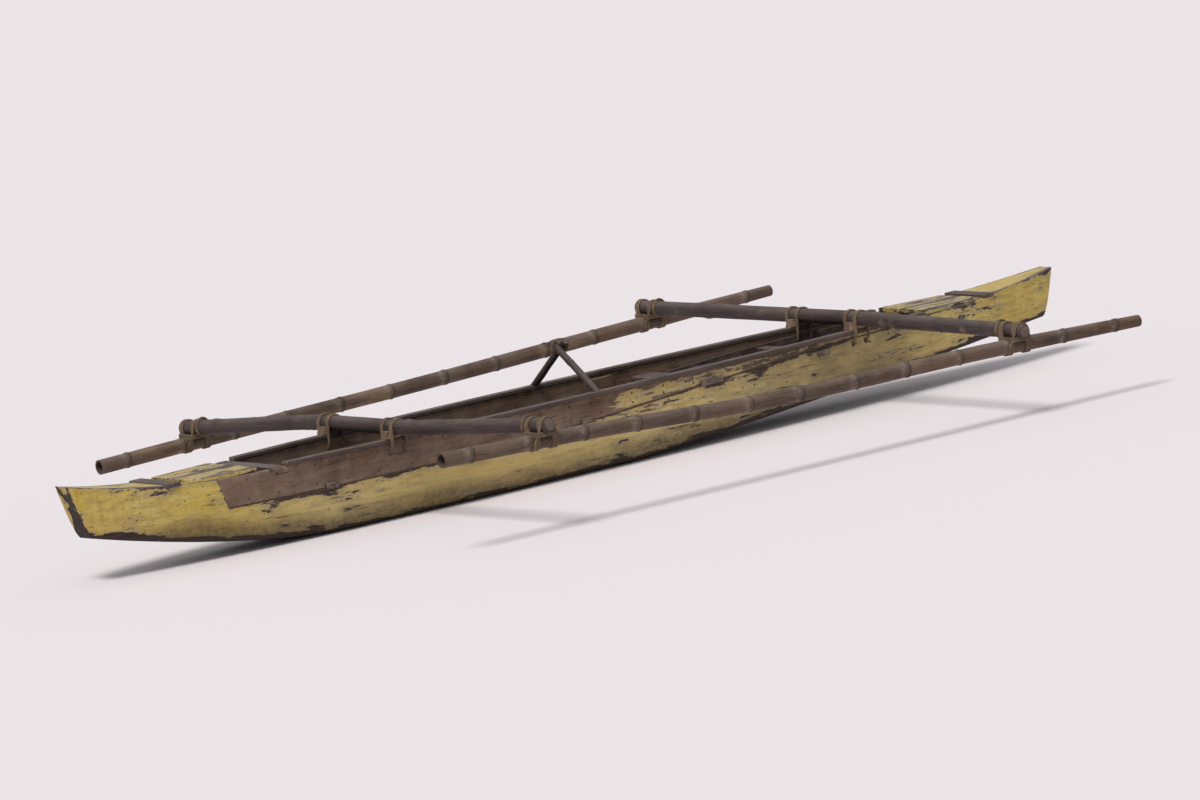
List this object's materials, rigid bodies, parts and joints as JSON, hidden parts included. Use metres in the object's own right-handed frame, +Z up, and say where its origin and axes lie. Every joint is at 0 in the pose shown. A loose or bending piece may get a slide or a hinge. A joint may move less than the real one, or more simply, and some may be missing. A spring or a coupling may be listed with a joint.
{
  "type": "outrigger canoe",
  "caption": "Small dugout canoe, its log hull raised by washstrakes, with a bamboo float lashed under crossing booms on each side.",
  "frame": {"origin": "on the ground, at the middle of the bounding box in plan, under the hull's flat bottom", "axes": "+X towards the bow, +Y to port, +Z up"},
  "size_m": [5.2956, 2.912, 0.586],
  "materials": {
    "yellow_painted_wood": "worn yellow paint over hewn wood",
    "grey_plank_wood": "bare weathered plank",
    "dark_wood": "bare weathered pole and board",
    "bamboo": "weathered bamboo",
    "rope": "laid fibre rope"
  },
  "bodies": {
    "root": {"boom_front": "dark_wood", "boom_rear": "dark_wood", "butt_block_port": "grey_plank_wood", "butt_block_starboard": "grey_plank_wood", "crosspiece_aft": "dark_wood", "crosspiece_bow": "dark_wood", "crosspiece_stern": "dark_wood", "deck_bow": "yellow_painted_wood", "deck_stern": "yellow_painted_wood", "float_port": "bamboo", "float_starboard": "bamboo", "hull_log": "yellow_painted_wood", "lashing_float_front_port": "rope", "lashing_float_front_starboard": "rope", "lashing_float_rear_port": "rope", "lashing_float_rear_starboard": "rope", "lashing_hull_front_port": "rope", "lashing_hull_front_starboard": "rope", "lashing_hull_rear_port": "rope", "lashing_hull_rear_starboard": "rope", "rail_port": "dark_wood", "rail_starboard": "dark_wood", "rest_lashing": "rope", "rest_stick_port": "dark_wood", "rest_stick_starboard": "dark_wood", "saddle_front_port": "grey_plank_wood", "saddle_front_starboard": "grey_plank_wood", "saddle_rear_port": "grey_plank_wood", "saddle_rear_starboard": "grey_plank_wood", "strake_aft_port": "grey_plank_wood", "strake_aft_starboard": "grey_plank_wood", "strake_fore_port": "yellow_painted_wood", "strake_fore_starboard": "yellow_painted_wood", "thwart_1": "dark_wood", "thwart_2": "dark_wood", "thwart_3": "dark_wood", "thwart_4": "dark_wood", "thwart_5": "dark_wood"}
  },
  "joints": []
}
